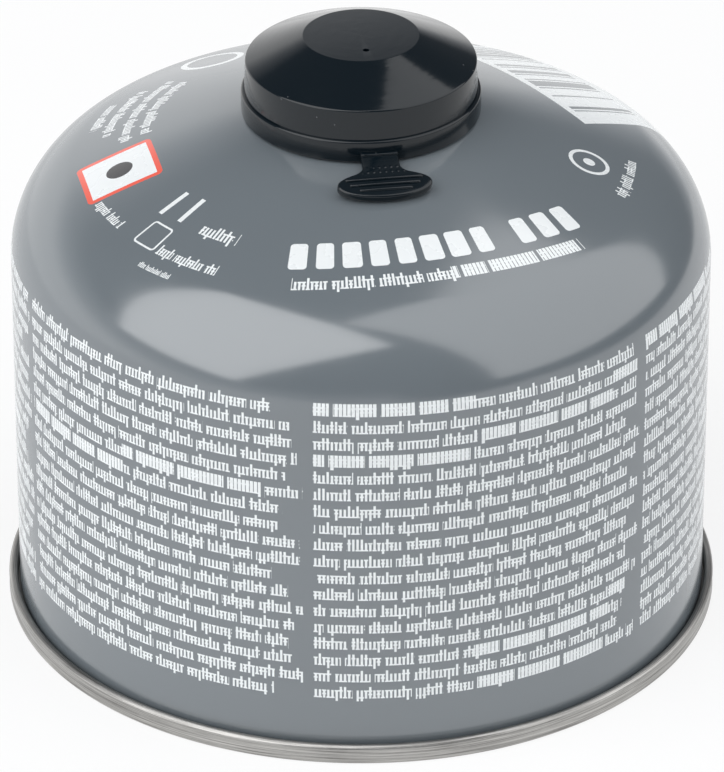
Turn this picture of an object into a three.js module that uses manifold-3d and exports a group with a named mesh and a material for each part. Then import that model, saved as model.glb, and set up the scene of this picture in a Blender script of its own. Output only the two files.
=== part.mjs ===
// A screw-on fuel canister with a clip-on cap, in millimetres, +Z up.
// The origin is the centre of the foot, and the cap's pull tab points towards -Y.
import * as THREE from "three";
import { mergeVertices } from "three/addons/utils/BufferGeometryUtils.js";
import Module from "manifold-3d";

const wasm = await Module();
wasm.setup();

const fit = 0.3; // gap left between pieces that touch
const degrees = Math.PI / 180;

// Painted can: straight side, round shoulder and a shallow domed crown
const bodyRadius = 53.3;
const shoulderStart = 57.9; // height where the side ends and the shoulder begins
const shoulderRadius = 16.1;
const crownSlope = 23.7 * degrees; // slope where the shoulder meets the crown
const crownRadius = 187;
const mouthRadius = 12.7;
const curlRadius = 1.6; // section of the rolled lip round the mouth
const curlLift = 0.3; // height of the lip over the crown
const canFacets = 56;

// Bare base plate with its double seam
const seamRadius = 55;
const seamHeight = 3;
const seamEdge = 0.7; // rounding of the seam
const seamGroove = 0.9; // height of the groove that takes the can's lower edge
const baseSheet = 0.5;
const chuckRadius = 51.9; // inner face of the wall inside the seam
const chuckFillet = 1.5;
const domeHeight = 12; // underside of the base at its centre
const domeRise = 6.5;

// Valve cup crimped over the lip, with a hollow boss that carries the screw thread
const cupSheet = 0.45;
const cupHem = 0.8; // how far the rim reaches down past the lip's middle
const cupDepth = 7.5; // from the rim's top to the floor
const cupFillet = 1;
const clinchBulge = 0.5; // the wall swells outwards under the lip
const bossHeight = 9.1;
const bossRadius = 5; // root of the thread
const bossWall = 0.7;
const bossEdge = 0.4;
const portRadius = 2.2; // hole in the boss's top
const cupFacets = 32;

// Valve inside the boss
const gasketThickness = 0.8;
const gasketBore = 1.6;
const valveClearance = 0.1; // play of the rubber rings and of the pieces packed in the boss
const housingWall = 0.7;
const housingFloor = 0.9;
const housingFlangeRadius = 5.6;
const housingFlange = 1.1;
const inletRadius = 0.8;
const stemRadius = 1.4;
const stemFlangeRadius = 2.9;
const stemFlange = 1.1;
const stemRecess = 0.25; // depth of the stem's tip below the boss's top
const spigotLength = 1.7;
const springRadius = 2.15; // middle of the wire
const wireRadius = 0.28;
const springTurns = 6;
const springEndTurns = 0.75; // nearly level turn at each end
const valveFacets = 16;

// Ring between the lip and the cup's rim
const lipGasket = 0.4;
const lipGasketSpread = 25 * degrees; // to each side of the lip's top

// Black cap, sized from the cup's rim
const capClearance = 0.45; // between the lower band's inside and the rim
const capWall = 1;
const capLedge = 0.5; // width of the step between the two bands
const capTaper = 0.15; // the upper band narrows by this much
const capLowerBand = 3.5;
const capUpperBand = 4.9;
const capCone = 3.8;
const capDiscRadius = 8.7;
const capEdge = 0.35; // rounding of the cap's edges
const ventRadius = 0.5;
const ventOffset = 5.1; // distance of the vent from the axis, towards the pull tab
const beadClearance = 0.1; // between the cap's inner bead and the cup's rim
const beadLift = 1; // height of the bead over the cap's lower edge
const beadSlope = 0.5; // height in which the bead runs back into the wall
const capFacets = 48;

// Pull tab on the cap, lying along the crown
const tabThickness = 1.3;
const tabHalfWidth = 7.1;
const tabCentre = 23.6; // distance of its widest line from the axis
const tabReach = 2.8; // from its widest line to its front and back edges
const tabNeck = 5.6;
const tabFlare = 1.7; // the neck widens by this much on each side where it meets the plate
const tabRootHeight = 1.7; // block on the cap's lower band that carries the neck
const tabRootDepth = 0.45;
const tabRound = 0.3;
const tabLift = 0.35;
const tabRibRadius = 0.3;
const tabRibLengths = [11.6, 10.6, 8];
const tabFirstRib = 22.7; // distance of the first rib from the axis
const tabRibPitch = 1.1;

// Points on an arc in the plane of radius and height
function arc(centreRadius, centreHeight, radius, from, to, steps) {
  const points = [];
  for (let i = 0; i <= steps; i++) {
    const angle = from + ((to - from) * i) / steps;
    points.push([
      centreRadius + radius * Math.cos(angle),
      centreHeight + radius * Math.sin(angle),
    ]);
  }
  return points;
}

// A section turned about the Z axis, listed from its underside outwards and up to its top
function turned(section, facets) {
  const points = section.map(([radius, height]) => new THREE.Vector2(radius, height));
  return new THREE.LatheGeometry(points, facets).rotateX(Math.PI / 2);
}

// A turned section that doesn't reach the axis
function turnedRing(section, facets) {
  return turned([...section, section[0]], facets);
}

function solidOf(geometry) {
  const bare = geometry.clone();
  bare.deleteAttribute("normal");
  bare.deleteAttribute("uv");
  const merged = mergeVertices(bare, 1e-4);
  const corners = [...merged.index.array];
  const kept = [];
  for (let i = 0; i < corners.length; i += 3) {
    const [a, b, c] = corners.slice(i, i + 3);
    if (a !== b && b !== c && c !== a) kept.push(a, b, c);
  }
  return new wasm.Manifold(
    new wasm.Mesh({
      numProp: 3,
      vertProperties: merged.attributes.position.array,
      triVerts: new Uint32Array(kept),
    }),
  );
}

function geometryOf(solid) {
  const data = solid.getMesh();
  const positions = new THREE.BufferAttribute(data.vertProperties, 3);
  const geometry = new THREE.BufferGeometry().setAttribute("position", positions);
  geometry.setIndex(new THREE.BufferAttribute(data.triVerts, 1));
  geometry.computeVertexNormals();
  return geometry;
}

// The crown is an arc that leaves the shoulder at the crown's slope
const crownEdgeRadius = bodyRadius - shoulderRadius + shoulderRadius * Math.sin(crownSlope);
const crownEdgeHeight = shoulderStart + shoulderRadius * Math.cos(crownSlope);
const crownCentreRadius = crownEdgeRadius - crownRadius * Math.sin(crownSlope);
const crownCentreHeight = crownEdgeHeight - crownRadius * Math.cos(crownSlope);

function crownAngle(radius) {
  return Math.asin((radius - crownCentreRadius) / crownRadius);
}

function crownHeight(radius) {
  return crownCentreHeight + crownRadius * Math.cos(crownAngle(radius));
}

// The base's dome and its turn into the wall inside the seam, moved up and out by an offset
const domeRadius = (chuckRadius ** 2 + domeRise ** 2) / (2 * domeRise);
const domeCentre = domeHeight - domeRadius;
const chuckFilletRadius = chuckRadius - chuckFillet;
const chuckFilletHeight =
  domeCentre + Math.sqrt((domeRadius - chuckFillet) ** 2 - chuckFilletRadius ** 2);
const domeEdgeAngle = Math.atan2(chuckFilletHeight - domeCentre, chuckFilletRadius);

function domeSection(offset) {
  const dome = arc(0, domeCentre, domeRadius + offset, Math.PI / 2, domeEdgeAngle, 4);
  const turn = arc(chuckFilletRadius, chuckFilletHeight, chuckFillet + offset, domeEdgeAngle, 0, 2);
  dome[0][0] = 0;
  return [...dome, ...turn.slice(1)];
}

// Places round the mouth that several pieces share
const lipRadius = mouthRadius + curlRadius;
const lipHeight = crownHeight(lipRadius) + curlLift + curlRadius;
const rimSection = curlRadius + lipGasket + 2 * valveClearance;
const rimRadius = lipRadius + curlRadius + fit + cupSheet;
const rimTop = lipHeight + rimSection + cupSheet;
const cupFloor = rimTop - cupDepth;
const cupOuter = mouthRadius - fit;
const clinchTop = lipHeight - curlRadius - fit;
const bossTop = cupFloor + bossHeight;
const bossBore = bossRadius - bossWall;
const housingTop = bossTop - bossWall - gasketThickness - 2 * valveClearance;
const housingRadius = bossBore - fit;
const housingFlangeTop = cupFloor - cupSheet - fit;
const housingBottom = housingFlangeTop - housingFlange;
const housingBore = housingRadius - housingWall;
const springBottom = housingBottom + housingFloor + valveClearance;
const stemFlangeTop = housingTop - valveClearance;
const springTop = stemFlangeTop - stemFlange - valveClearance;

function canBody() {
  const pocketRadius = mouthRadius + clinchBulge;
  const pocketFloor = cupFloor - cupSheet - fit;
  const wellRadius = housingFlangeRadius + fit;
  const wellFloor = housingBottom - fit;
  const crownEnd = crownAngle(lipRadius);
  const underside = domeSection(baseSheet + fit);
  const section = [
    ...underside,
    [chuckRadius + baseSheet + fit, seamGroove + fit],
    [bodyRadius, seamGroove + fit],
    ...arc(bodyRadius - shoulderRadius, shoulderStart, shoulderRadius, 0, Math.PI / 2 - crownSlope, 8),
    ...arc(
      crownCentreRadius,
      crownCentreHeight,
      crownRadius,
      Math.PI / 2 - crownSlope,
      Math.PI / 2 - crownEnd,
      4,
    ).slice(1),
    ...arc(lipRadius, lipHeight, curlRadius, -Math.PI / 2, Math.PI, 6),
    [mouthRadius, clinchTop],
    [pocketRadius, clinchTop - clinchBulge],
    [pocketRadius, pocketFloor],
    [wellRadius, pocketFloor],
    [wellRadius, wellFloor],
    [0, wellFloor],
  ];
  return turned(section, canFacets);
}

function basePlate() {
  const grooveRadius = bodyRadius + fit;
  const chuckOuter = chuckRadius + baseSheet;
  const section = [
    ...domeSection(0),
    [chuckRadius, seamEdge],
    [chuckRadius + seamEdge, 0],
    ...arc(seamRadius - seamEdge, seamEdge, seamEdge, -Math.PI / 2, 0, 2),
    ...arc(seamRadius - seamEdge, seamHeight - seamEdge, seamEdge, 0, Math.PI, 4),
    [grooveRadius, seamGroove],
    [chuckOuter, seamGroove],
    ...domeSection(baseSheet).reverse(),
  ];
  return turned(section, canFacets);
}

function valveCup() {
  const hemHeight = lipHeight - cupHem;
  const wallInner = cupOuter - cupSheet;
  const floorBottom = cupFloor - cupSheet;
  const clinchOuter = cupOuter + clinchBulge;
  const clinchInner = wallInner + clinchBulge;
  const rimOuter = rimRadius - lipRadius;
  const rimInner = lipRadius - wallInner;
  const crest = rimTop - lipHeight;
  const steps = 8;
  const over = [];
  const under = [];
  for (let i = 0; i <= steps; i++) {
    const angle = (Math.PI * i) / steps;
    const side = Math.cos(angle) > 0 ? rimOuter : rimInner;
    const across = Math.cos(angle);
    const up = Math.sin(angle);
    over.push([lipRadius + side * across, lipHeight + crest * up]);
    under.unshift([lipRadius + (side - cupSheet) * across, lipHeight + rimSection * up]);
  }
  const section = [
    [bossBore, floorBottom],
    [clinchOuter - cupFillet, floorBottom],
    [clinchOuter, floorBottom + cupFillet],
    [clinchOuter, clinchTop - clinchBulge - fit],
    [cupOuter, clinchTop - fit],
    ...under,
    [lipRadius + rimOuter - cupSheet, hemHeight],
    [rimRadius, hemHeight],
    ...over,
    [wallInner, clinchTop],
    [clinchInner, clinchTop - clinchBulge],
    [clinchInner, cupFloor + cupFillet],
    [clinchInner - cupFillet, cupFloor],
    [bossRadius + cupFillet, cupFloor],
    [bossRadius, cupFloor + cupFillet],
    [bossRadius, bossTop - bossEdge],
    [bossRadius - bossEdge, bossTop],
    [portRadius, bossTop],
    [portRadius, bossTop - bossWall],
    [bossBore, bossTop - bossWall],
  ];
  return turnedRing(section, cupFacets);
}

function cupGasket() {
  const inner = curlRadius + valveClearance;
  const outer = inner + lipGasket;
  const from = Math.PI / 2 - lipGasketSpread;
  const to = Math.PI / 2 + lipGasketSpread;
  const section = [
    ...arc(lipRadius, lipHeight, inner, to, from, 4),
    ...arc(lipRadius, lipHeight, outer, from, to, 4),
  ];
  return turnedRing(section, cupFacets);
}

function stemGasket() {
  const outer = bossBore - valveClearance;
  const bottom = housingTop + valveClearance;
  const top = bottom + gasketThickness;
  const section = [
    [gasketBore, bottom],
    [outer, bottom],
    [outer, top],
    [gasketBore, top],
  ];
  return turnedRing(section, valveFacets);
}

function valveHousing() {
  const section = [
    [inletRadius, housingBottom],
    [housingFlangeRadius, housingBottom],
    [housingFlangeRadius, housingFlangeTop],
    [housingRadius, housingFlangeTop],
    [housingRadius, housingTop],
    [housingBore, housingTop],
    [housingBore, housingBottom + housingFloor],
    [inletRadius, housingBottom + housingFloor],
  ];
  return turnedRing(section, valveFacets);
}

function valveStem() {
  const flangeBottom = stemFlangeTop - stemFlange;
  const tip = bossTop - stemRecess;
  const section = [
    [0, flangeBottom - spigotLength],
    [stemRadius, flangeBottom - spigotLength],
    [stemRadius, flangeBottom],
    [stemFlangeRadius, flangeBottom],
    [stemFlangeRadius, stemFlangeTop],
    [stemRadius, stemFlangeTop],
    [stemRadius, tip],
    [0, tip],
  ];
  return turned(section, valveFacets);
}

// The spring's wire runs level for most of a turn at each end
class SpringWire extends THREE.Curve {
  getPoint(share, target = new THREE.Vector3()) {
    const low = springBottom + wireRadius;
    const high = springTop - wireRadius;
    const endShare = springEndTurns / springTurns;
    const climb = THREE.MathUtils.clamp((share - endShare) / (1 - 2 * endShare), 0, 1);
    const flat = 2 * wireRadius + valveClearance;
    const turn = 2 * Math.PI * springTurns * share;
    const start = Math.min(share / endShare, 1) * flat;
    const end = Math.max((share - 1 + endShare) / endShare, 0) * flat;
    const height = low + start + (high - low - 2 * flat) * climb + end;
    return target.set(springRadius * Math.cos(turn), springRadius * Math.sin(turn), height);
  }
}

function valveSpring() {
  const wire = new THREE.Shape();
  wire.absarc(0, 0, wireRadius, 0, 2 * Math.PI, false);
  return new THREE.ExtrudeGeometry(wire, {
    steps: springTurns * 12,
    curveSegments: 3,
    extrudePath: new SpringWire(),
  });
}

const capLowerInner = rimRadius + capClearance;
const capRadius = capLowerInner + capWall;
const capUpperRadius = capRadius - capLedge;
const capBottom = crownHeight(capRadius) + fit;
const ledgeHeight = capBottom + capLowerBand;
const bandTop = ledgeHeight + capUpperBand;
const discHeight = bandTop + capCone;

function capShell() {
  const upperInner = capUpperRadius - capWall;
  const beadRadius = rimRadius + beadClearance;
  const beadHeight = capBottom + beadLift;
  const step = rimTop + fit;
  const discUnder = discHeight - capWall;
  const section = [
    [0, discUnder],
    [capDiscRadius - capEdge, discUnder],
    [upperInner, bandTop - capWall],
    [upperInner, step + capLedge],
    [capLowerInner, step],
    [capLowerInner, beadHeight + beadSlope],
    [beadRadius, beadHeight],
    [capLowerInner, capBottom],
    [capRadius - capEdge, capBottom],
    [capRadius, capBottom + capEdge],
    [capRadius, ledgeHeight - capEdge],
    [capRadius - capEdge, ledgeHeight],
    [capUpperRadius, ledgeHeight],
    [capUpperRadius - capTaper, bandTop - capEdge],
    [capUpperRadius - capTaper - capEdge, bandTop],
    [capDiscRadius + capEdge, discHeight - capEdge / 2],
    [capDiscRadius, discHeight],
    [0, discHeight],
  ];
  const vent = new THREE.CylinderGeometry(ventRadius, ventRadius, 4 * capWall, 12)
    .rotateX(Math.PI / 2)
    .translate(0, -ventOffset, discHeight);
  return solidOf(turned(section, capFacets)).subtract(solidOf(vent));
}

// The tab is drawn in plan, x across and y outwards from the axis, then laid along the crown
function pullTab() {
  const plan = new THREE.Shape();
  const neck = tabNeck / 2 - tabRound;
  const wide = tabHalfWidth - tabRound;
  const reach = tabReach - tabRound;
  const root = capRadius - capWall / 2;
  const flareAngle = Math.asin((neck + tabFlare) / wide);
  const flareEnd = tabCentre - reach * Math.cos(flareAngle);
  const flareStart = flareEnd - tabFlare;
  const steps = 18;
  plan.moveTo(neck, root);
  plan.lineTo(neck, flareStart);
  plan.quadraticCurveTo(neck, flareEnd - tabFlare / 3, neck + tabFlare, flareEnd);
  for (let i = 1; i <= steps; i++) {
    const angle = flareAngle + ((2 * Math.PI - 2 * flareAngle) * i) / steps;
    plan.lineTo(wide * Math.sin(angle), tabCentre - reach * Math.cos(angle));
  }
  plan.quadraticCurveTo(-neck, flareEnd - tabFlare / 3, -neck, flareStart);
  plan.lineTo(-neck, root);
  const plate = new THREE.ExtrudeGeometry(plan, {
    depth: tabThickness - 2 * tabRound,
    bevelThickness: tabRound,
    bevelSize: tabRound,
    bevelSegments: 2,
    curveSegments: 4,
  }).translate(0, 0, tabRound);
  let tab = solidOf(plate);
  tabRibLengths.forEach((length, i) => {
    const rib = new THREE.CylinderGeometry(tabRibRadius, tabRibRadius, length, 8);
    rib.rotateZ(Math.PI / 2);
    rib.translate(0, tabFirstRib + tabRibPitch * i, tabThickness);
    tab = tab.add(solidOf(rib));
  });
  const slope = crownAngle(tabCentre);
  return geometryOf(tab)
    .translate(0, -tabCentre, 0)
    .rotateZ(Math.PI)
    .rotateX(slope)
    .translate(0, -tabCentre, crownHeight(tabCentre) + tabLift);
}

// A block on the lower band, from inside the cap's wall to just proud of it
function tabRoot() {
  const depth = capWall / 2 + tabRootDepth;
  return new THREE.BoxGeometry(tabNeck, depth, tabRootHeight).translate(
    0,
    depth / 2 - capRadius - tabRootDepth,
    capBottom + tabRootHeight / 2,
  );
}

function cap() {
  return geometryOf(capShell().add(solidOf(pullTab())).add(solidOf(tabRoot())));
}

function finish(colour, roughness, metalness) {
  return new THREE.MeshStandardMaterial({ color: colour, roughness, metalness });
}

const paint = finish(0x7d8488, 0.35, 0);
const tinplate = finish(0xa9a8a4, 0.35, 1);
const blackPlastic = finish(0x17181b, 0.3, 0);
const rubber = finish(0x1c1c1c, 0.9, 0);
const palePlastic = finish(0xd9d6cc, 0.5, 0);
const springSteel = finish(0x9a9ca0, 0.3, 1);

function part(name, geometry, material) {
  const mesh = new THREE.Mesh(geometry, material);
  mesh.name = name;
  return mesh;
}

const canister = new THREE.Group();
const valve = new THREE.Group();
canister.add(
  part("can_body", canBody(), paint),
  part("base_plate", basePlate(), tinplate),
  part("cap", cap(), blackPlastic),
  valve,
);
valve.add(
  part("valve_cup", valveCup(), tinplate),
  part("cup_gasket", cupGasket(), rubber),
  part("stem_gasket", stemGasket(), rubber),
  part("valve_stem", valveStem(), palePlastic),
  part("valve_spring", valveSpring(), springSteel),
  part("valve_housing", valveHousing(), palePlastic),
);

export default canister;
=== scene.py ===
import math
import bmesh
import bpy
from mathutils import Matrix, Vector


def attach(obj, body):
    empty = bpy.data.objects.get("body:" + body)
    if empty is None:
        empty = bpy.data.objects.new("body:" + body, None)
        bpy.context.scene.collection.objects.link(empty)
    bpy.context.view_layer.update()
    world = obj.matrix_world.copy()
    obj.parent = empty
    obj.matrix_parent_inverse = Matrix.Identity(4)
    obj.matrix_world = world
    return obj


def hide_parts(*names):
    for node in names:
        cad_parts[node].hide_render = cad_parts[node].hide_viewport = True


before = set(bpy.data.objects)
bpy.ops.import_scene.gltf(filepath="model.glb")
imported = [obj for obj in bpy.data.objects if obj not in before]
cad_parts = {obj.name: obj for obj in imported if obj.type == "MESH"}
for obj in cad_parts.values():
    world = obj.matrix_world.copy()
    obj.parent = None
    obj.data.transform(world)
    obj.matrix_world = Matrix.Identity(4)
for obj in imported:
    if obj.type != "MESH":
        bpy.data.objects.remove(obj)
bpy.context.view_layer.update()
mm = 0.001

imageWidth, imageHeight = 724, 772
scene = bpy.context.scene
scene.view_settings.view_transform = "Standard"


# Camera, from a fit to the can's outline and rims in the photograph
view = {
    "distance": 1016,  # from the height below, in millimetres
    "height": 45,
    "elevation": 29.0,
    "turn": -8.5,  # the camera stands a little to the left of the pull tab
    "focalPixels": 6624,
    "axisPixel": (360.9, 322.5),  # where the axis is seen at that height
    "sensor": 36,
    "clip": (0.05, 30),  # in metres
}


def makeCamera():
    data = bpy.data.cameras.new("camera")
    data.sensor_fit = "HORIZONTAL"
    data.sensor_width = view["sensor"]
    data.lens = view["focalPixels"] / imageWidth * data.sensor_width
    data.clip_start, data.clip_end = view["clip"]
    camera = bpy.data.objects.new("camera", data)
    scene.collection.objects.link(camera)
    up, turn = math.radians(view["elevation"]), math.radians(view["turn"])
    flat = view["distance"] * math.cos(up)
    height = view["height"] + view["distance"] * math.sin(up)
    eye = Vector((flat * math.sin(turn), -flat * math.cos(turn), height))
    below = math.atan((imageHeight / 2 - view["axisPixel"][1]) / view["focalPixels"])
    aside = math.atan((imageWidth / 2 - view["axisPixel"][0]) / view["focalPixels"])
    camera.location = eye * mm
    camera.rotation_euler = (math.pi / 2 - up - below, 0, turn - aside)
    scene.camera = camera


makeCamera()
print("camera placed")


sharpAngle = 32  # degrees between faces from which an edge stays sharp


# Turned shapes: a section is a list of (radius, height) in millimetres, from its underside out and up
def arc(centre, radius, start, end, steps):
    points = []
    for i in range(steps + 1):
        angle = start + (end - start) * i / steps
        points.append((centre[0] + radius * math.cos(angle), centre[1] + radius * math.sin(angle)))
    return points


def turned(name, section, facets, ring=False):
    loop = section + [section[0]] if ring else section
    verts, rows = [], []
    for k, (radius, height) in enumerate(loop):
        if ring and k == len(loop) - 1:
            rows.append(rows[0])
        elif radius < 1e-6:
            verts.append((0, 0, height * mm))
            rows.append([len(verts) - 1] * facets)
        else:
            start = len(verts)
            for i in range(facets):
                angle = 2 * math.pi * i / facets
                x, y = radius * mm * math.sin(angle), -radius * mm * math.cos(angle)
                verts.append((x, y, height * mm))
            rows.append(list(range(start, start + facets)))
    faces = []
    for low, high in zip(rows, rows[1:]):
        for i in range(facets):
            j = (i + 1) % facets
            corners = (low[i], low[j], high[j], high[i])
            faces.append([c for n, c in enumerate(corners) if c != corners[n - 1]])
    mesh = bpy.data.meshes.new(name)
    mesh.from_pydata(verts, [], faces)
    return finished(name, mesh, sharpAngle)


def finished(name, mesh, sharp):
    mesh.validate()
    mesh.shade_smooth()
    mesh.set_sharp_from_angle(angle=math.radians(sharp))
    piece = bpy.data.objects.new(name, mesh)
    scene.collection.objects.link(piece)
    return piece


# The can, in millimetres
can = {
    "radius": 53.3,
    "shoulderStart": 57.9,
    "shoulderRadius": 16.1,
    "crownSlope": math.radians(23.7),
    "crownRadius": 187,
    "mouthRadius": 12.7,
    "curlRadius": 1.6,
    "curlLift": 0.3,
    "facets": 256,
    "sideSteps": 14,
    "shoulderSteps": 28,
    "crownSteps": 12,
    "curlSteps": 20,
}
base = {
    "seamRadius": 55,
    "seamHeight": 3,
    "seamEdge": 0.7,
    "footEdge": 0.35,
    "groove": 0.9,
    "sheet": 0.5,
    "chuckRadius": 51.9,
    "chuckFillet": 1.5,
    "domeHeight": 12,
    "domeRise": 6.5,
    "hollow": ((0.06, 0.42), (0.1, 0.5), (0.06, 0.58)),  # depth, and share of the seam's height
    "domeSteps": 24,
    "filletSteps": 8,
    "footSteps": 7,
    "innerSteps": 6,
    "seamSteps": 14,
}
valve = {
    "sheet": 0.45,
    "hem": 0.8,
    "depth": 7.5,
    "fillet": 1,
    "clinch": 0.5,
    "bossHeight": 9.1,
    "bossRadius": 5,
    "bossWall": 0.7,
    "bossEdge": 0.4,
    "portRadius": 2.2,
    "ringGap": 0.6,  # the lip's rubber ring with its play
    "wellRadius": 5.9,
    "wellDepth": 1.4,
    "threadRadius": 5.55,
    "threadPitch": 0.907,
    "threadSink": 0.1,  # how far the thread starts inside the boss
    "threadHalf": 0.46,  # half width at the root, as a share of the pitch
    "threadCrest": 0.12,  # the crest's width as a share of the root's
    "threadEnd": 0.02,  # height left at the thread's ends, as a share
    "threadFacets": 48,
    "threadSharp": 40,
    "facets": 128,
    "rimSteps": 24,
    "filletSteps": 6,
    "bossSteps": 5,
}
fit = 0.3  # gap between pieces that touch

crownEdge = (
    can["radius"] - can["shoulderRadius"] * (1 - math.sin(can["crownSlope"])),
    can["shoulderStart"] + can["shoulderRadius"] * math.cos(can["crownSlope"]),
)
crownCentre = (
    crownEdge[0] - can["crownRadius"] * math.sin(can["crownSlope"]),
    crownEdge[1] - can["crownRadius"] * math.cos(can["crownSlope"]),
)


def crownAngle(radius):
    return math.asin((radius - crownCentre[0]) / can["crownRadius"])


def crownHeight(radius):
    return crownCentre[1] + can["crownRadius"] * math.cos(crownAngle(radius))


lipRadius = can["mouthRadius"] + can["curlRadius"]
lipHeight = crownHeight(lipRadius) + can["curlLift"] + can["curlRadius"]
rimRadius = lipRadius + can["curlRadius"] + fit + valve["sheet"]
rimSection = can["curlRadius"] + valve["ringGap"]
rimTop = lipHeight + rimSection + valve["sheet"]
cupFloor = rimTop - valve["depth"]
clinchTop = lipHeight - can["curlRadius"] - fit


def domeSection(offset):
    radius = (base["chuckRadius"] ** 2 + base["domeRise"] ** 2) / (2 * base["domeRise"])
    centre = base["domeHeight"] - radius
    turnRadius = base["chuckRadius"] - base["chuckFillet"]
    turnHeight = centre + math.sqrt((radius - base["chuckFillet"]) ** 2 - turnRadius**2)
    edge = math.atan2(turnHeight - centre, turnRadius)
    dome = arc((0, centre), radius + offset, math.pi / 2, edge, base["domeSteps"])
    dome[0] = (0, dome[0][1])
    fillet = arc((turnRadius, turnHeight), base["chuckFillet"] + offset, edge, 0, base["filletSteps"])
    return dome + fillet[1:]


def makeCan():
    inner = can["mouthRadius"]
    pocket = inner + valve["clinch"]
    floor = cupFloor - valve["sheet"] - fit
    shoulder = (can["radius"] - can["shoulderRadius"], can["shoulderStart"])
    low = base["groove"] + fit
    section = domeSection(base["sheet"] + fit)
    section += [(base["chuckRadius"] + base["sheet"] + fit, low), (can["radius"], low)]
    side, rise = can["sideSteps"], can["shoulderStart"] - low
    section += [(can["radius"], low + rise * i / side) for i in range(1, side)]
    crownStart, crownEnd = math.pi / 2 - can["crownSlope"], math.pi / 2 - crownAngle(lipRadius)
    section += arc(shoulder, can["shoulderRadius"], 0, crownStart, can["shoulderSteps"])
    section += arc(crownCentre, can["crownRadius"], crownStart, crownEnd, can["crownSteps"])[1:]
    section += arc((lipRadius, lipHeight), can["curlRadius"], -math.pi / 2, math.pi, can["curlSteps"])
    section += [
        (inner, clinchTop),
        (pocket, clinchTop - valve["clinch"]),
        (pocket, floor),
        (valve["wellRadius"], floor),
        (valve["wellRadius"], floor - valve["wellDepth"]),
        (0, floor - valve["wellDepth"]),
    ]
    return turned("canShell", section, can["facets"])


def makeBase():
    groove = can["radius"] + fit
    edge, seam = base["seamEdge"], base["seamRadius"]
    chuckOuter = base["chuckRadius"] + base["sheet"]
    foot = base["footEdge"]
    low = arc((seam - foot, foot), foot, -math.pi / 2, 0, base["footSteps"])
    hollow = [(seam - depth, base["seamHeight"] * share) for depth, share in base["hollow"]]
    top = arc((seam - edge, base["seamHeight"] - edge), edge, 0, math.pi, base["seamSteps"])
    section = domeSection(0) + [(base["chuckRadius"], edge)]
    inner = arc((base["chuckRadius"] + edge, edge), edge, math.pi, 1.5 * math.pi, base["innerSteps"])
    section += inner[1:]
    section += low + hollow + top + [(groove, base["groove"]), (chuckOuter, base["groove"])]
    section += domeSection(base["sheet"])[::-1]
    return turned("basePlate", section, can["facets"])


def makeValveCup():
    sheet, fillet = valve["sheet"], valve["fillet"]
    outer = can["mouthRadius"] - fit
    inner = outer - sheet
    boss, bore = valve["bossRadius"], valve["bossRadius"] - valve["bossWall"]
    top, floor = cupFloor + valve["bossHeight"], cupFloor
    under = floor - sheet
    bulged, bulgedInner = outer + valve["clinch"], inner + valve["clinch"]
    over, below = [], []
    for i in range(valve["rimSteps"] + 1):
        angle = math.pi * i / valve["rimSteps"]
        across, up = math.cos(angle), math.sin(angle)
        side = rimRadius - lipRadius if across > 0 else lipRadius - inner
        over.append((lipRadius + side * across, lipHeight + (rimTop - lipHeight) * up))
        below.insert(0, (lipRadius + (side - sheet) * across, lipHeight + rimSection * up))
    steps, edge, hem = valve["filletSteps"], valve["bossEdge"], lipHeight - valve["hem"]
    section = [(bore, under)]
    section += arc((bulged - fillet, under + fillet), fillet, -math.pi / 2, 0, steps)
    section += [(bulged, clinchTop - valve["clinch"] - fit), (outer, clinchTop - fit)]
    section += below + [(rimRadius - sheet, hem), (rimRadius, hem)] + over
    section += [(inner, clinchTop), (bulgedInner, clinchTop - valve["clinch"])]
    section += arc((bulgedInner - fillet, floor + fillet), fillet, 0, -math.pi / 2, steps)
    section += arc((boss + fillet, floor + fillet), fillet, 1.5 * math.pi, math.pi, steps)
    section += arc((boss - edge, top - edge), edge, 0, math.pi / 2, valve["bossSteps"])
    port, roof = valve["portRadius"], top - valve["bossWall"]
    section += [(port, top), (port, roof), (bore, roof)]
    return turned("valveCup", section, valve["facets"], ring=True)


# The boss's thread is a narrow ridge wound up the boss, which fades out at both ends
def makeThread():
    low = cupFloor + valve["fillet"] + valve["threadPitch"] / 2
    high = cupFloor + valve["bossHeight"] - valve["bossEdge"] - valve["threadPitch"] / 2
    turns = (high - low) / valve["threadPitch"]
    steps = int(turns * valve["threadFacets"])
    root = valve["bossRadius"] - valve["threadSink"]
    half = valve["threadPitch"] * valve["threadHalf"]
    flat = half * valve["threadCrest"]
    verts, faces = [], []
    for i in range(steps + 1):
        share = i / steps
        angle = 2 * math.pi * turns * share
        height = low + (high - low) * share
        fade = min(1, share * turns * 2, (1 - share) * turns * 2)
        crest = root + (valve["threadRadius"] - root) * max(fade, valve["threadEnd"])
        for radius, lift in ((root, -half), (crest, -flat), (crest, flat), (root, half)):
            x, y = radius * mm * math.sin(angle), -radius * mm * math.cos(angle)
            verts.append((x, y, (height + lift) * mm))
        if i:
            a, b = 4 * (i - 1), 4 * i
            faces += [(a + k, b + k, b + (k + 1) % 4, a + (k + 1) % 4) for k in range(4)]
    faces += [(3, 2, 1, 0), tuple(4 * steps + k for k in range(4))]
    mesh = bpy.data.meshes.new("bossThread")
    mesh.from_pydata(verts, [], faces)
    return finished("bossThread", mesh, valve["threadSharp"])


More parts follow.
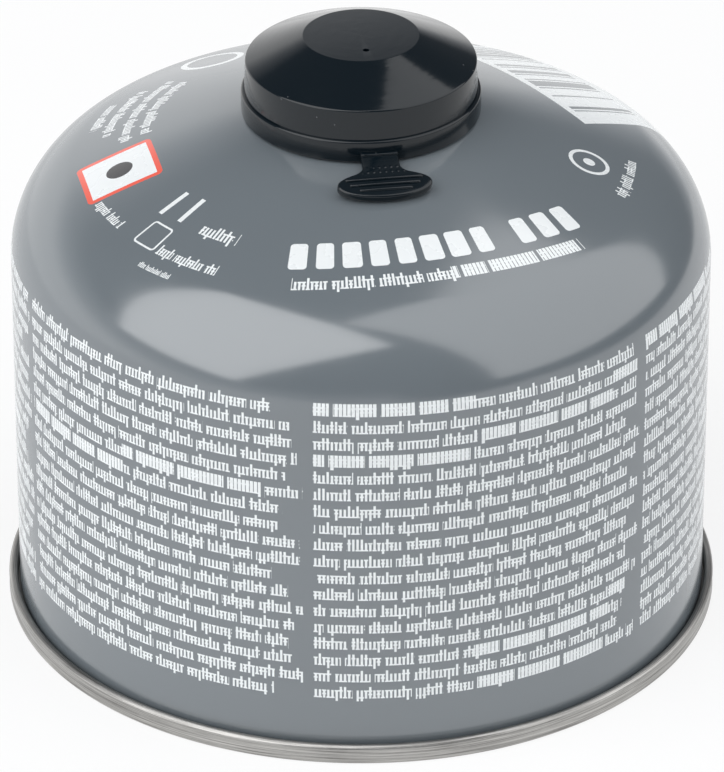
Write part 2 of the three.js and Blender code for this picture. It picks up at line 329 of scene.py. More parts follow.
# The cap, with its pull tab lying along the crown, in millimetres
cap = {
    "radius": 18.1,
    "upperRadius": 17.6,
    "taper": 0.15,
    "wall": 1.0,
    "lowerBand": 3.5,
    "upperBand": 4.9,
    "cone": 3.8,
    "discRadius": 8.7,
    "edge": 0.35,
    "ventRadius": 0.5,
    "ventOffset": 5.1,
    "beadLift": 1,
    "beadSlope": 0.5,
    "beadClearance": 0.1,
    "rimShare": 0.8,  # the disc's edge as a share of the other edges
    "facets": 192,
    "ventFacets": 32,
    "edgeSteps": 5,
    "rimSteps": 4,
}
tab = {
    "thickness": 1.3,
    "halfWidth": 7.1,
    "centre": 23.6,
    "reach": 2.8,
    "neck": 5.6,
    "flare": 1.7,
    "rootHeight": 1.7,
    "rootDepth": 0.45,
    "round": 0.35,
    "lift": 0.35,
    "ribRadius": 0.3,
    "ribLengths": (11.6, 10.6, 8),
    "firstRib": 22.7,
    "ribPitch": 1.1,
    "rootRound": 0.2,
    "neckSteps": 8,
    "ovalSteps": 56,
    "roundSteps": 3,
}
capBottom = crownHeight(cap["radius"]) + fit
ledge = capBottom + cap["lowerBand"]
bandTop = ledge + cap["upperBand"]
discHeight = bandTop + cap["cone"]


def makeCapShell():
    outer, upper, edge = cap["radius"], cap["upperRadius"], cap["edge"]
    lowerInner, upperInner = outer - cap["wall"], upper - cap["wall"]
    step = rimTop + fit
    bead = capBottom + cap["beadLift"]
    narrow = upper - cap["taper"]
    disc = cap["discRadius"]
    slope = math.atan2(cap["cone"], narrow - disc)
    lean = math.pi / 2 - slope
    foot, top = (outer - edge, capBottom + edge), (outer - edge, ledge - edge)
    shoulder = (narrow - edge, bandTop - edge)
    rimEdge = edge * cap["rimShare"]
    crest = (disc, discHeight - rimEdge)
    roof, steps = discHeight - cap["wall"], cap["edgeSteps"]
    section = [(0, roof), (disc - edge, roof), (upperInner, bandTop - cap["wall"])]
    section += [(upperInner, step + outer - upper), (lowerInner, step)]
    section += [(lowerInner, bead + cap["beadSlope"]), (rimRadius + cap["beadClearance"], bead)]
    section += [(lowerInner, capBottom)]
    section += arc(foot, edge, -math.pi / 2, 0, steps) + arc(top, edge, 0, math.pi / 2, steps)
    section += [(upper, ledge)] + arc(shoulder, edge, 0, lean, steps)
    section += arc(crest, rimEdge, lean, math.pi / 2, cap["rimSteps"]) + [(0, discHeight)]
    shell = turned("capShell", section, cap["facets"])
    cut = bmesh.new()
    wide, deep, sides = cap["ventRadius"] * mm, cap["wall"] * mm, cap["ventFacets"]
    bmesh.ops.create_cone(cut, cap_ends=True, segments=sides, radius1=wide, radius2=wide, depth=4 * deep)
    bmesh.ops.translate(cut, verts=cut.verts, vec=(0, -cap["ventOffset"] * mm, discHeight * mm))
    vent = bpy.data.meshes.new("vent")
    cut.to_mesh(vent)
    cut.free()
    combine(shell, vent, "DIFFERENCE")
    return shell


def combine(piece, mesh, operation):
    cutter = bpy.data.objects.new("cutter", mesh)
    scene.collection.objects.link(cutter)
    step = piece.modifiers.new("step", "BOOLEAN")
    step.operation = operation
    step.solver = "MANIFOLD"
    step.object = cutter
    with bpy.context.temp_override(object=piece, active_object=piece):
        bpy.ops.object.modifier_apply(modifier="step")
    bpy.data.objects.remove(cutter)


# A closed plate with rounded edges, drawn in plan as points (across, outwards) in millimetres
def plate(name, outline, thickness, edge):
    shape = bmesh.new()
    corners = [shape.verts.new((x * mm, y * mm, 0)) for x, y in outline]
    face = shape.faces.new(corners)
    top = bmesh.ops.extrude_face_region(shape, geom=[face])
    raised = [v for v in top["geom"] if isinstance(v, bmesh.types.BMVert)]
    bmesh.ops.translate(shape, verts=raised, vec=(0, 0, thickness * mm))
    bmesh.ops.recalc_face_normals(shape, faces=shape.faces)
    rims = [e for e in shape.edges if abs(e.verts[0].co.z - e.verts[1].co.z) < 1e-9]
    steps = tab["roundSteps"]
    bmesh.ops.bevel(shape, geom=rims, offset=edge * mm, segments=steps, profile=0.5, affect="EDGES")
    mesh = bpy.data.meshes.new(name)
    shape.to_mesh(mesh)
    shape.free()
    return mesh


# A bar with round ends: a ball whose two halves are drawn apart
def bar(length, radius):
    shape = bmesh.new()
    bmesh.ops.create_icosphere(shape, subdivisions=3, radius=radius * mm)
    apart = max(length / 2 - radius, 0) * mm
    for v in shape.verts:
        if abs(v.co.x) > 1e-7:
            v.co.x += math.copysign(apart, v.co.x)
    mesh = bpy.data.meshes.new("bar")
    shape.to_mesh(mesh)
    shape.free()
    return mesh


def tabOutline():
    neck, wide, reach = tab["neck"] / 2, tab["halfWidth"], tab["reach"]
    start = math.asin((neck + tab["flare"]) / wide)
    meet = tab["centre"] - reach * math.cos(start)
    root = cap["radius"] - cap["wall"] / 2
    right = []
    control = (neck, meet - tab["flare"] / 3)
    first, last = (neck, meet - tab["flare"]), (neck + tab["flare"], meet)
    for i in range(tab["neckSteps"] + 1):
        t = i / tab["neckSteps"]
        corners = zip(first, control, last)
        right.append(tuple((1 - t) ** 2 * a + 2 * t * (1 - t) * b + t * t * c for a, b, c in corners))
    turn, oval = 2 * math.pi - 2 * start, []
    for i in range(1, tab["ovalSteps"]):
        angle = start + turn * i / tab["ovalSteps"]
        oval.append((wide * math.sin(angle), tab["centre"] - reach * math.cos(angle)))
    left = [(-x, y) for x, y in reversed(right)]
    return [(neck, root)] + right + oval + left + [(-neck, root)]


def makeCap():
    shell = makeCapShell()
    laid = (
        Matrix.Translation((0, -tab["centre"] * mm, (crownHeight(tab["centre"]) + tab["lift"]) * mm))
        @ Matrix.Rotation(crownAngle(tab["centre"]), 4, "X")
        @ Matrix.Rotation(math.pi, 4, "Z")
        @ Matrix.Translation((0, -tab["centre"] * mm, 0))
    )
    meshes = [plate("tab", tabOutline(), tab["thickness"], tab["round"])]
    for i, length in enumerate(tab["ribLengths"]):
        rib = bar(length, tab["ribRadius"])
        out = (tab["firstRib"] + tab["ribPitch"] * i) * mm
        rib.transform(Matrix.Translation((0, out, tab["thickness"] * mm)))
        meshes.append(rib)
    for mesh in meshes:
        mesh.transform(laid)
    depth = cap["wall"] / 2 + tab["rootDepth"]
    half = tab["neck"] / 2
    inner = cap["radius"] - cap["wall"] / 2
    outline = [(-half, -inner - depth), (half, -inner - depth), (half, -inner), (-half, -inner)]
    root = plate("root", outline, tab["rootHeight"], tab["rootRound"])
    root.transform(Matrix.Translation((0, 0, capBottom * mm)))
    meshes.append(root)
    for mesh in meshes:
        combine(shell, mesh, "UNION")
    shell.data.shade_smooth()
    shell.data.set_sharp_from_angle(angle=math.radians(sharpAngle))
    return shell


canShell = makeCan()
basePlate = makeBase()
valveCup = makeValveCup()
bossThread = makeThread()
capShell = makeCap()
for piece, body, nodes in (
    (canShell, "can", ["can_body"]),
    (basePlate, "can", ["base_plate"]),
    (valveCup, "can", ["valve_cup"]),
    (bossThread, "can", []),
    (capShell, "cap", ["cap"]),
):
    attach(piece, body)
    if nodes:
        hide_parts(*nodes)
print("pieces made")


# Shader sums: a Socket stands for a node's output, and arithmetic on it adds Math nodes
class Socket:
    def __init__(self, graph, output):
        self.graph = graph
        self.output = output

    def __add__(self, other):
        return self.graph.maths("ADD", self, other)

    def __radd__(self, other):
        return self.graph.maths("ADD", other, self)

    def __sub__(self, other):
        return self.graph.maths("SUBTRACT", self, other)

    def __rsub__(self, other):
        return self.graph.maths("SUBTRACT", other, self)

    def __mul__(self, other):
        return self.graph.maths("MULTIPLY", self, other)

    def __rmul__(self, other):
        return self.graph.maths("MULTIPLY", other, self)

    def __truediv__(self, other):
        return self.graph.maths("DIVIDE", self, other)

    def __rtruediv__(self, other):
        return self.graph.maths("DIVIDE", other, self)

    def __gt__(self, other):
        return self.graph.maths("GREATER_THAN", self, other)

    def __lt__(self, other):
        return self.graph.maths("LESS_THAN", self, other)

    def __mod__(self, other):
        return self.graph.maths("FLOORED_MODULO", self, other)

    def __pow__(self, other):
        return self.graph.maths("POWER", self, other)

    def __abs__(self):
        return self.graph.maths("ABSOLUTE", self)


class Graph:
    def __init__(self, owner):
        owner.use_nodes = True
        self.owner = owner
        self.tree = owner.node_tree
        self.shader = self.tree.nodes.get("Principled BSDF")

    def add(self, kind, settings=None, sockets=None, out=0):
        node = self.tree.nodes.new("ShaderNode" + kind)
        for key, value in (settings or {}).items():
            if key == "stops":
                for i, (place, colour) in enumerate(value):
                    stop = node.color_ramp.elements[i] if i < 2 else node.color_ramp.elements.new(place)
                    stop.position = place
                    stop.color = (*colour, 1)
            else:
                setattr(node, key, value)
        for key, value in (sockets or {}).items():
            self.feed(node.inputs[key], value)
        return Socket(self, node.outputs[out])

    def feed(self, target, value):
        if isinstance(value, Socket):
            self.tree.links.new(value.output, target)
        elif isinstance(value, (tuple, list)) and target.type == "RGBA":
            target.default_value = (*value, 1)
        else:
            target.default_value = value

    def maths(self, operation, *values):
        return self.add("Math", {"operation": operation}, dict(enumerate(values)))

    def mix(self, share, first, second):
        return self.add("Mix", {"data_type": "RGBA"}, {0: share, 6: first, 7: second}, out=2)

    def noise(self, vector, scale, detail, rough=0.5):
        sockets = {"Vector": vector, "Scale": scale, "Detail": detail, "Roughness": rough}
        return self.add("TexNoise", {}, sockets)

    def spread(self, x, y, z):
        return self.add("CombineXYZ", {}, {0: x, 1: y, 2: z})

    def chance(self, x, y, z):
        return self.add("TexWhiteNoise", {"noise_dimensions": "3D"}, {"Vector": self.spread(x, y, z)})

    def parts(self, vector):
        node = self.add("SeparateXYZ", {}, {0: vector}).output.node
        return [Socket(self, output) for output in node.outputs]

    def bump(self, height, strength, distance):
        return self.add("Bump", {}, {"Strength": strength, "Distance": distance, "Height": height})

    def finish(self, **sockets):
        for key, value in sockets.items():
            self.feed(self.shader.inputs[key.replace("_", " ")], value)
        return self.owner


# The place on the part, and in millimetres how far it lies to the right, towards the pull tab and up
def placesOn(graph):
    spot = graph.add("TexCoord", out="Object")
    x, y, z = graph.parts(spot)
    return spot, x * 1000, y * -1000, z * 1000


# Distance from a centre, and the angle round it from the pull tab's side
def polar(graph, x, y):
    return graph.maths("SQRT", x * x + y * y), graph.maths("ARCTAN2", x, y)


# Distance to a rectangle with round corners: below 0 inside, and no lower than minus the corner's radius
def roundedBox(graph, x, y, halfX, halfY, corner):
    overX = graph.maths("MAXIMUM", abs(x) - (halfX - corner), 0)
    overY = graph.maths("MAXIMUM", abs(y) - (halfY - corner), 0)
    return graph.maths("SQRT", overX * overX + overY * overY) - corner


# Greeked print: upright ticks with a few joining strokes, broken into word lengths, with no letters.
# "along" and "up" are counted in heights of a small tick, and "row" sets the random draw.
def greeked(graph, along, up, row):
    cell = graph.maths("FLOOR", along / ink["pitch"])
    inside = abs(along / ink["pitch"] - cell - 0.5)
    run = graph.maths("FLOOR", along / ink["heavyRun"])
    heavy = graph.chance(run, row, draws["heavy"]) > ink["heavyFrom"]
    first = graph.chance(cell, row, draws["height"])
    second = graph.chance(cell, row, draws["stroke"])
    top = 1 + (ink["tall"] - 1) * graph.maths("MAXIMUM", first > ink["tallFrom"], heavy)
    tick = inside < ink["stem"] + ink["heavyStem"] * heavy
    tick = tick * (up > -ink["tail"] * (first < ink["tailTo"])) * (up < top)
    half = ink["stroke"] / 2
    head = (second > ink["headFrom"]) * (abs(up - (1 - half)) < half)
    sole = (second < ink["soleTo"]) * (abs(up - half) < half)
    middle = (second > ink["middleFrom"]) * (abs(up - 0.5) < half)
    wordGap = graph.add(
        "TexVoronoi",
        {"voronoi_dimensions": "1D", "feature": "DISTANCE_TO_EDGE"},
        {"W": along / ink["word"] + row * ink["rowShift"], "Scale": 1.0, "Randomness": ink["uneven"]},
    )
    return graph.maths("MINIMUM", tick + head + sole + middle, 1) * (wordGap > ink["gap"])


ink = {
    "pitch": 0.44,
    "stem": 0.28,
    "stroke": 0.17,
    "tall": 1.42,
    "tallFrom": 0.7,  # names that end in From or To are limits on a random draw
    "tail": 0.34,
    "tailTo": 0.1,
    "headFrom": 0.5,
    "soleTo": 0.42,
    "middleFrom": 0.78,
    "heavyRun": 17,
    "heavyFrom": 0.92,
    "heavyStem": 0.12,
    "word": 4.6,
    "gap": 0.046,
    "rowShift": 7.31,
    "uneven": 0.75,
    "below": 0.4,  # room under and over a line, in heights of its small tick
    "above": 1.5,
}
# Which random number each choice draws
draws = {"height": 1, "stroke": 2, "heavy": 3, "length": (4, 9), "block": (1, 5), "bar": (2, 6)}
# Row numbers for those draws: the step from column to column, and the numbers of the crown's lines
rowNumbers = {"column": 31, "subheading": 600, "smallLines": 700}
sideText = {
    "columns": 6,
    "start": -76.1,  # degrees from the pull tab to the first column's left edge
    "width": 54.6,
    "top": 60.9,
    "pitch": 2.84,
    "rows": 18,
    "foot": 0.72,
    "size": 1.42,
    "rag": 5.2,
}
heading = {
    "centre": (-1.8, -17.0),
    "radius": 52.1,
    "half": 2.3,
    "start": -14.6,
    "pitch": 3.95,
    "gapAfter": 8,
    "gap": 0.75,
    "blocks": 11,
    "width": 1.5,  # half a block's width, and how much of it may be missing
    "narrower": 0.28,
    "corner": 0.55,
}
# Small lines on the crown: radius of the foot, first and last angle from the tab, height of a small tick
smallLines = (
    (42.4, -123.5, -110.5, 1.25),
    (39.6, -129, -105.5, 1.25),
    (36.4, -134, -99.5, 1.25),
    (33.4, -132.5, -100.5, 1.25),
    (42.4, -78.2, -67, 1.1),
    (42.5, -54.2, -39, 1.25),
    (36.8, -50.5, -38.8, 1.5),
    (45.3, -55.2, -47.3, 0.6),
    (41.6, 63, 79, 1.2),
)
subheading = {"foot": 58.0, "from": -14.8, "to": 31.7, "size": 1.45}
tile = {"centre": (-37.0, 2.2), "half": 5.7, "corner": 0.9, "frame": 0.8, "dot": 2.0}
panel = {
    "turn": 32.9,
    "along": (-17, 18.3),
    "out": (29.2, 49),
    "bars": (30.6, 43.5),
    "barsAlong": (-15, 14.6),
    "pitch": 0.42,
    "barFrom": 0.52,
}
ring = {"centre": (32.9, 11.6), "radius": 2.8, "line": 0.6, "dot": 0.9}
farRing = {"centre": (-18.5, -32.0), "radius": 4.4, "line": 1.0}
strokes = ((-62.5, 31.8, 36.8, 0.8), (-56.2, 31.4, 36.4, 0.8))
outlineMark = {"radius": 40.2, "angle": -58.2, "half": 2.1, "line": 0.3, "corner": 0.5}
paint = {
    "grey": (0.133, 0.154, 0.17),
    "print": (0.76, 0.79, 0.8),
    "red": (0.78, 0.09, 0.05),
    "dark": (0.03, 0.03, 0.032),
    "roughness": 0.12,
    "specular": 1.0,
    "refraction": 1.6,
    "crownMargin": 3,  # how far the tile may reach below the crown's edge
    "cloud": (22, 3),  # scale and detail
    "peel": (900, 2),
    "fine": (260, 4),
    "tones": (0.94, 1.06),
    "fineRough": 0.07,
    "printRough": 0.12,
    "peelHeight": 0.35,
    "cloudHeight": 0.4,
    "bump": (0.15, 0.00004),  # strength, and distance in metres
}


# Adds a line of print to the sums of the place along it, the place over its foot, size, row and cover
def addLine(sums, along, up, length, size, row):
    cover = (along > 0) * (along < length) * (up > -ink["below"] * size) * (up < ink["above"] * size)
    return [total + cover * value for total, value in zip(sums, (along, up, size, row, 1))]


def paintMaterial():
    graph = Graph(bpy.data.materials.new("paint"))
    spot, x, y, z = placesOn(graph)
    radius, angle = polar(graph, x, y)
    degree = angle * (180 / math.pi)
    onCrown = z > crownEdge[1] - paint["crownMargin"]

    def between(value, low, high):
        return (value > low) * (value < high)

    # Side print
    period = 360 / sideText["columns"]
    turn = (degree - sideText["start"] + 360) % 360
    column = graph.maths("FLOOR", turn / period)
    along = (turn - column * period) * (math.pi / 180 * can["radius"])
    fromTop = sideText["top"] - z
    row = graph.maths("FLOOR", fromTop / sideText["pitch"])
    up = sideText["pitch"] - (fromTop - row * sideText["pitch"]) - sideText["foot"]
    draw = row + column * rowNumbers["column"]
    length = sideText["width"] - sideText["rag"] * graph.chance(draw, *draws["length"]) ** 2
    cover = between(row, -0.5, sideText["rows"] - 0.5) * (along < length)
    sums = [cover * value for value in (along, up, sideText["size"], draw, 1)]

    # Lines on the crown
    arcRadius, arcAngle = polar(graph, x - heading["centre"][0], y - heading["centre"][1])
    line = subheading
    arcRun = (arcAngle - math.radians(line["from"])) * line["foot"]
    arcLength = math.radians(line["to"] - line["from"]) * line["foot"]
    over = line["foot"] - arcRadius
    sums = addLine(sums, arcRun, over, arcLength, line["size"], rowNumbers["subheading"])
    for i, (foot, first, last, size) in enumerate(smallLines):
        run = (degree - first) * (math.pi / 180 * foot)
        length = math.radians(last - first) * foot
        sums = addLine(sums, run, foot - radius, length, size, rowNumbers["smallLines"] + i)
    along, up, size, row, cover = sums
    size = size + (1 - cover)
    white = greeked(graph, along / size, up / size, row) * cover

    # Heading of plain blocks
    step = (arcAngle * heading["radius"] - heading["start"]) / heading["pitch"]
    local = step - heading["gap"] * (step > heading["gapAfter"] + heading["gap"] / 2)
    cell = graph.maths("FLOOR", local)
    width = heading["width"] - heading["narrower"] * graph.chance(cell, *draws["block"])
    aside, out = (local - cell - 0.5) * heading["pitch"], arcRadius - heading["radius"]
    block = roundedBox(graph, aside, out, width, heading["half"], heading["corner"])
    gap = between(step, heading["gapAfter"], heading["gapAfter"] + heading["gap"])
    white = white + (block < 0) * between(local, 0, heading["blocks"]) * (1 - gap)
    for at, low, high, wide in strokes:
        white = white + (abs(angle - math.radians(at)) * radius < wide / 2) * between(radius, low, high)
    mark = outlineMark
    aside = (angle - math.radians(mark["angle"])) * mark["radius"]
    box = roundedBox(graph, aside, radius - mark["radius"], mark["half"], mark["half"], mark["corner"])
    white = white + (abs(box) < mark["line"] / 2)
    for item in (ring, farRing):
        away = polar(graph, x - item["centre"][0], y - item["centre"][1])[0]
        white = white + (abs(away - item["radius"]) < item["line"] / 2)
        if "dot" in item:
            white = white + (away < item["dot"])

    # Framed tile, turned square to the crown's radius
    away = math.hypot(*tile["centre"])
    outX, outY = tile["centre"][0] / away, tile["centre"][1] / away
    tileOut = x * outX + y * outY - away
    tileAside = x * outY - y * outX
    tileEdge = roundedBox(graph, tileOut, tileAside, tile["half"], tile["half"], tile["corner"])
    tileMask = (tileEdge < 0) * onCrown
    tileInner = (tileEdge < -tile["frame"]) * onCrown
    tileDot = (polar(graph, tileOut, tileAside)[0] < tile["dot"]) * onCrown

    # Pale panel with plain bars
    lean = math.radians(panel["turn"])
    panelAlong = x * math.sin(lean) + y * math.cos(lean)
    panelOut = x * math.cos(lean) - y * math.sin(lean)
    panelMask = between(panelAlong, *panel["along"]) * between(panelOut, *panel["out"])
    panelMask = panelMask * (z > can["shoulderStart"])
    barCell = graph.maths("FLOOR", panelAlong / panel["pitch"])
    bars = (graph.chance(barCell, *draws["bar"]) > panel["barFrom"]) * between(panelOut, *panel["bars"])
    bars = bars * between(panelAlong, *panel["barsAlong"])
    panelWhite = panelMask * (1 - bars)

    printed = white * (1 - tileMask) * (1 - panelMask) + tileInner * (1 - tileDot) + panelWhite
    inked = graph.maths("MINIMUM", printed, 1)
    cloud = graph.noise(spot, *paint["cloud"])
    tone = graph.mix(cloud, *(tuple(c * share for c in paint["grey"]) for share in paint["tones"]))
    colour = graph.mix(tileMask * (1 - tileInner), tone, paint["red"])
    colour = graph.mix(tileDot, colour, paint["dark"])
    colour = graph.mix(inked, colour, paint["print"])
    peel = graph.noise(spot, *paint["peel"])
    fine = graph.noise(spot, *paint["fine"])
    rough = paint["roughness"] + paint["fineRough"] * fine + paint["printRough"] * inked
    height = peel * paint["peelHeight"] + cloud * paint["cloudHeight"]
    return graph.finish(
        Base_Color=colour,
        Roughness=rough,
        Normal=graph.bump(height, *paint["bump"]),
        Specular_IOR_Level=paint["specular"],
        IOR=paint["refraction"],
    )


steel = {
    "colour": (0.58, 0.57, 0.55),
    "streak": (0.12, 0.117, 0.112),
    "roughness": 0.33,
    "streakStretch": (2.2, 3.5),  # how close the marks lie round the axis, and across
    "streaks": (1.6, 6, 0.65),  # scale, detail and roughness
    "stains": (120, 4, 0.6),
    "fineStretch": (9, 22),
    "fine": (1.0, 3),
    "contrast": 2.6,
    "darkening": 0.92,
    "stainShare": 0.35,
    "stainRough": 0.22,
    "streakRough": 0.08,
    "streakHeight": 0.6,
    "fineHeight": 0.5,
    "bump": (0.35, 0.00006),
}


# Rolled tinplate: streaks run round the axis, with a few stains
def tinplateMaterial():
    graph = Graph(bpy.data.materials.new("tinplate"))
    spot, x, y, z = placesOn(graph)
    radius, angle = polar(graph, x, y)
    turn, across = steel["streakStretch"]
    streaks = graph.noise(graph.spread(angle * turn, radius * across, z * across), *steel["streaks"])
    stains = graph.noise(spot, *steel["stains"])
    turn, across = steel["fineStretch"]
    fine = graph.noise(graph.spread(angle * turn, radius * across, z * across), *steel["fine"])
    bright = streaks * steel["contrast"] - steel["darkening"] + stains * steel["stainShare"]
    share = graph.maths("MINIMUM", graph.maths("MAXIMUM", bright, 0), 1)
    colour = graph.mix(share, steel["streak"], steel["colour"])
    rough = steel["roughness"] + steel["stainRough"] * stains - steel["streakRough"] * streaks
    return graph.finish(
        Base_Color=colour,
        Metallic=1.0,
        Roughness=rough,
        Normal=graph.bump(streaks * steel["streakHeight"] + fine * steel["fineHeight"], *steel["bump"]),
    )


plastic = {
    "colour": (0.0034, 0.0072, 0.0106),
    "roughness": 0.06,
    "speck": (0.09, 0.095, 0.1),
    "dotPitch": 0.9,  # small dots raised on the tab, in millimetres
    "dotRadius": 0.27,
    "dotsFrom": 20.35,
    "dotsTo": 22.15,
    "dotsHalf": 4.0,
    "specular": 0.44,
    "scuff": (420, 5, 0.7),  # scale, detail and roughness
    "flowStretch": (1.5, 0.5, 0.7),  # round the axis, across and up
    "flow": (1.3, 2),
    "specks": 520.0,
    "speckSize": 0.06,
    "speckGroups": (300, 1),
    "speckFrom": 0.6,
    "scuffRough": 0.1,
    "flowRough": 0.05,
    "dustRough": 0.25,
    "flowHeight": 0.45,
    "scuffHeight": 0.1,
    "dustHeight": 0.6,
    "dotHeight": 12,
    "bump": (0.3, 0.00008),
}


# Glossy black moulding with faint flow marks, fine scuffs, specks of dust and small dots raised on the tab
def blackPlasticMaterial():
    graph = Graph(bpy.data.materials.new("blackPlastic"))
    spot, x, y, z = placesOn(graph)
    radius, angle = polar(graph, x, y)
    scuff = graph.noise(spot, *plastic["scuff"])
    turn, across, rise = plastic["flowStretch"]
    flow = graph.noise(graph.spread(angle * turn, radius * across, z * rise), *plastic["flow"])
    specks = graph.add("TexVoronoi", {"feature": "F1"}, {"Vector": spot, "Scale": plastic["specks"]})
    keep = graph.noise(spot, *plastic["speckGroups"]) > plastic["speckFrom"]
    dust = (specks < plastic["speckSize"]) * keep
    colour = graph.mix(dust, plastic["colour"], plastic["speck"])
    pitch = plastic["dotPitch"]
    inRow = abs(x / pitch - graph.maths("FLOOR", x / pitch) - 0.5) * pitch
    inFile = abs((y - plastic["dotsFrom"]) / pitch % 1 - 0.5) * pitch
    onTab = (y > plastic["dotsFrom"]) * (y < plastic["dotsTo"]) * (abs(x) < plastic["dotsHalf"])
    dots = graph.maths("MAXIMUM", plastic["dotRadius"] - polar(graph, inRow, inFile)[0], 0) * onTab
    rough = plastic["roughness"] + plastic["scuffRough"] * scuff * scuff
    rough = rough + plastic["flowRough"] * flow + plastic["dustRough"] * dust
    height = flow * plastic["flowHeight"] + scuff * plastic["scuffHeight"]
    height = height + dust * plastic["dustHeight"] + dots * plastic["dotHeight"]
    return graph.finish(
        Base_Color=colour,
        Roughness=rough,
        Specular_IOR_Level=plastic["specular"],
        Normal=graph.bump(height, *plastic["bump"]),
    )


# Plain materials: colour, roughness, share of metal and the grain's scale
plainFinishes = {
    "sealRubber": ((0.02, 0.02, 0.021), 0.7, 0.0, 900),
    "acetal": ((0.7, 0.68, 0.62), 0.4, 0.0, 700),
    "springWire": ((0.5, 0.5, 0.5), 0.25, 1.0, 1500),
}
grained = {"noise": (4, 0.6), "tones": (0.8, 1.15), "roughness": 0.15, "bump": (0.2, 0.00005)}


def plainMaterial(name):
    colour, roughness, metallic, grain = plainFinishes[name]
    graph = Graph(bpy.data.materials.new(name))
    fine = graph.noise(graph.add("TexCoord", out="Object"), grain, *grained["noise"])
    shade = graph.mix(fine, *(tuple(min(c * share, 1) for c in colour) for share in grained["tones"]))
    return graph.finish(
        Base_Color=shade,
        Roughness=roughness + grained["roughness"] * fine,
        Metallic=metallic,
        Normal=graph.bump(fine, *grained["bump"]),
    )


def dress(piece, material):
    piece.data.materials.clear()
    piece.data.materials.append(material)


paintFinish = paintMaterial()
tinplate = tinplateMaterial()
blackPlastic = blackPlasticMaterial()
rubber, acetal, wire = (plainMaterial(name) for name in plainFinishes)
dress(canShell, paintFinish)
for piece in (basePlate, valveCup, bossThread):
    dress(piece, tinplate)
dress(capShell, blackPlastic)
for node, material in (
    ("cup_gasket", rubber),
    ("stem_gasket", rubber),
    ("valve_stem", acetal),
    ("valve_housing", acetal),
    ("valve_spring", wire),
):
    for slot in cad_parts[node].material_slots:
        slot.material = material
print("materials made")


# Studio: a pale floor, two soft boxes, and a graded surround that the camera sees as white
studio = {
    "floor": (0.86, 0.87, 0.88),
    "floorRough": 0.6,
    "floorReach": 0.45,
    "floorLift": 0.8,  # share of plain white that the floor shows, rising to all of it at its reach
    "shadowReach": 0.2,  # where the share starts to rise, in metres from the axis
    "low": (1.25, 1.25, 1.25),  # the surround near and below the horizon
    "middle": (0.6, 0.61, 0.63),
    "high": (0.12, 0.125, 0.135),
    "behind": 0.32,  # the pale surround reaches higher behind the can
    "right": 0.9,  # and lower at its right
    "left": 0.15,  # and a little lower at its left
    "stops": (0.08, 0.23, 0.42),  # heights of the three colours above, from low to high
    "target": 0.05,  # height that the boxes aim at, in metres
    "distance": 1.3,
    "boxes": (
        {
            "name": "leftBox",
            "aim": (-51, 53.4),  # degrees round from the tab, and up
            "roll": 70,
            "centre": (-0.35, 0.09),
            "half": (0.75, 0.6),
            "power": 24,
        },
        {
            "name": "rightBox",
            "aim": (55, 30),
            "roll": 0,
            "centre": (0.42, 0.51),
            "half": (0.87, 1.03),
            "power": 27,
        },
    ),
}


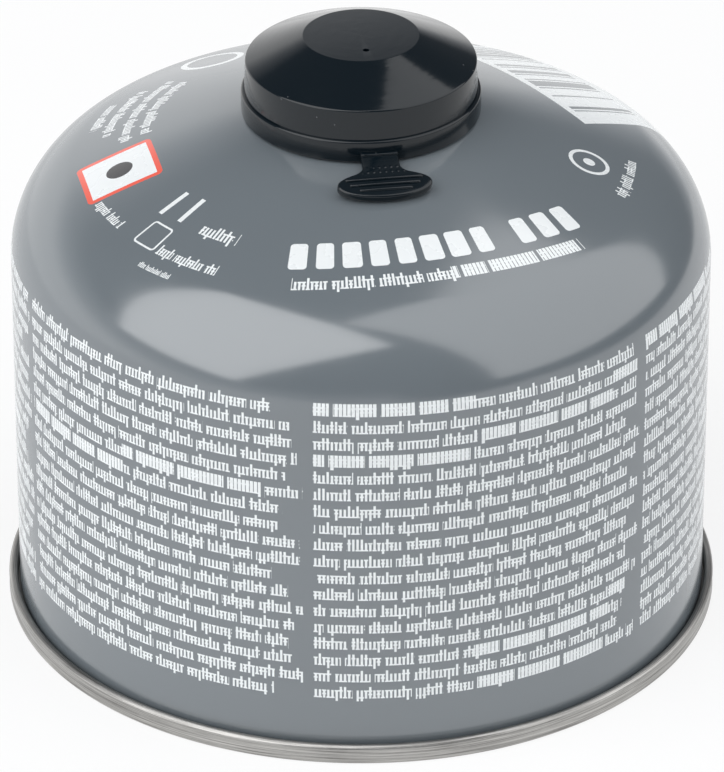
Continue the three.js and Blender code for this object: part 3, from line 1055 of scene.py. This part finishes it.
def makeFloor():
    mesh = bpy.data.meshes.new("floor")
    reach = studio["floorReach"]
    corners = [(-reach, -reach, 0), (reach, -reach, 0), (reach, reach, 0), (-reach, reach, 0)]
    mesh.from_pydata(corners, [], [(0, 1, 2, 3)])
    floor = bpy.data.objects.new("floor", mesh)
    scene.collection.objects.link(floor)
    graph = Graph(bpy.data.materials.new("floor"))
    graph.finish(Base_Color=studio["floor"], Roughness=studio["floorRough"])
    kinds = ("Is Camera Ray", "Is Glossy Ray", "Is Transmission Ray")
    camera, glossy, through = (graph.add("LightPath", out=kind) for kind in kinds)
    seen = graph.maths("MAXIMUM", camera, graph.maths("MAXIMUM", glossy, through))
    spot = graph.add("TexCoord", out="Object")
    away = graph.add("VectorMath", {"operation": "LENGTH"}, {0: spot}, out="Value")
    far = graph.add("MapRange", {}, {"Value": away, 1: studio["shadowReach"], 2: studio["floorReach"]})
    share = seen * (studio["floorLift"] + far * (1 - studio["floorLift"]))
    glow = graph.add("Emission", {}, {"Color": (1, 1, 1), "Strength": 1.0})
    lifted = graph.add("MixShader", {}, {0: share, 1: Socket(graph, graph.shader.outputs[0]), 2: glow})
    graph.feed(graph.tree.nodes["Material Output"].inputs["Surface"], lifted)
    dress(floor, graph.owner)


def makeSurround():
    graph = Graph(bpy.data.worlds.new("surround"))
    scene.world = graph.owner
    right, back, up = graph.parts(graph.add("TexCoord", out="Generated"))
    lift = up - studio["behind"] * back + studio["right"] * graph.maths("MAXIMUM", right, 0)
    lift = lift - studio["left"] * graph.maths("MINIMUM", right, 0)
    stops = tuple(zip(studio["stops"], (studio["low"], studio["middle"], studio["high"])))
    tone = graph.add("ValToRGB", {"stops": stops}, {0: lift})
    seen = graph.mix(graph.add("LightPath", out="Is Camera Ray"), tone, (1, 1, 1))
    graph.feed(graph.tree.nodes["Background"].inputs["Color"], seen)


# Each box is a flat panel across its aim, and its centre and half size are shares of the distance
def makeBoxes():
    target = Vector((0, 0, studio["target"]))
    reach = studio["distance"]
    for box in studio["boxes"]:
        turn, lift = (math.radians(angle) for angle in box["aim"])
        flat = math.cos(lift)
        aim = Vector((flat * math.sin(turn), -flat * math.cos(turn), math.sin(lift)))
        level = Vector((0, 0, 1)).cross(aim).normalized()
        roll = Matrix.Rotation(math.radians(box["roll"]), 3, aim)
        across, along = roll @ level, roll @ aim.cross(level)
        light = bpy.data.lights.new(box["name"], "AREA")
        light.shape = "RECTANGLE"
        light.size, light.size_y = (2 * half * reach for half in box["half"])
        light.energy = box["power"]
        lamp = bpy.data.objects.new(box["name"], light)
        scene.collection.objects.link(lamp)
        place = target + (aim + box["centre"][0] * across + box["centre"][1] * along) * reach
        facing = Matrix((across, along, aim)).transposed().to_4x4()
        lamp.matrix_world = Matrix.Translation(place) @ facing


makeFloor()
makeSurround()
makeBoxes()
print("studio lit")
